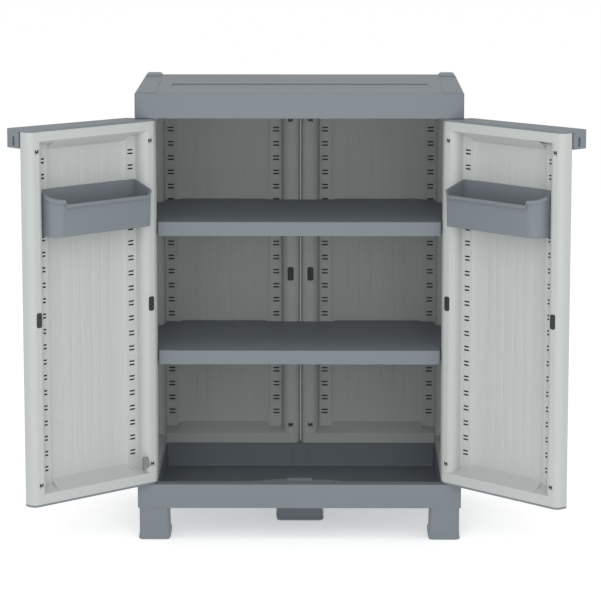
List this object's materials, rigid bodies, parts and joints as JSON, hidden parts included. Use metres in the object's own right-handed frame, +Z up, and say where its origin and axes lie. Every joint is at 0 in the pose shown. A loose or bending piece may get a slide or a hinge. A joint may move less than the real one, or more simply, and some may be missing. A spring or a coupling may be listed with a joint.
{
  "type": "garden storage cabinet",
  "caption": "Low resin storage cabinet with hinged doors, hang-in door bins, adjustable shelves and a raised base tray.",
  "frame": {"origin": "on the floor under the middle of the cabinet's body", "axes": "X across the cabinet to the right, Y from the doors to the back, Z up"},
  "size_m": [1.1709, 0.6578, 0.9592],
  "materials": {
    "panel_light_grey": "matte moulded polypropylene with a fine wood grain",
    "body_blue_grey": "matte moulded polypropylene",
    "fitting_black": "satin moulded plastic",
    "pin_grey": "satin moulded plastic"
  },
  "bodies": {
    "root": {"base_tray": "body_blue_grey", "foot_front_left": "body_blue_grey", "foot_front_right": "body_blue_grey", "foot_rear_left": "body_blue_grey", "foot_rear_right": "body_blue_grey", "foot_centre": "body_blue_grey", "lid": "body_blue_grey", "shelf_upper": "body_blue_grey", "shelf_lower": "body_blue_grey", "shelf_clips_upper": "body_blue_grey", "shelf_clips_lower": "body_blue_grey", "side_panel_left": "panel_light_grey", "side_panel_right": "panel_light_grey", "back_panel_left": "panel_light_grey", "back_panel_right": "panel_light_grey", "corner_clips": "fitting_black", "back_square_clips": "fitting_black", "back_oval_plugs": "fitting_black"},
    "left_door": {"door_panel_left": "panel_light_grey", "door_top_rail_left": "body_blue_grey", "door_bottom_strip_left": "body_blue_grey", "door_pins_left": "pin_grey", "door_square_clips_left": "fitting_black", "door_oval_plugs_left": "fitting_black", "door_bin_left": "body_blue_grey", "door_catch_left": "body_blue_grey"},
    "right_door": {"door_panel_right": "panel_light_grey", "door_top_rail_right": "body_blue_grey", "door_bottom_strip_right": "body_blue_grey", "door_pins_right": "pin_grey", "door_square_clips_right": "fitting_black", "door_oval_plugs_right": "fitting_black", "door_bin_right": "body_blue_grey"}
  },
  "joints": [
    {"name": "left_door_hinge", "type": "hinge", "parent": "root", "child": "left_door", "pos_m": [-0.3235, -0.1995, 0.5105], "axis": [0, 0, 1], "range_deg": [-33.8, 136.2]},
    {"name": "right_door_hinge", "type": "hinge", "parent": "root", "child": "right_door", "pos_m": [0.3235, -0.1995, 0.5105], "axis": [0, 0, -1], "range_deg": [-36.8, 133.2]}
  ]
}
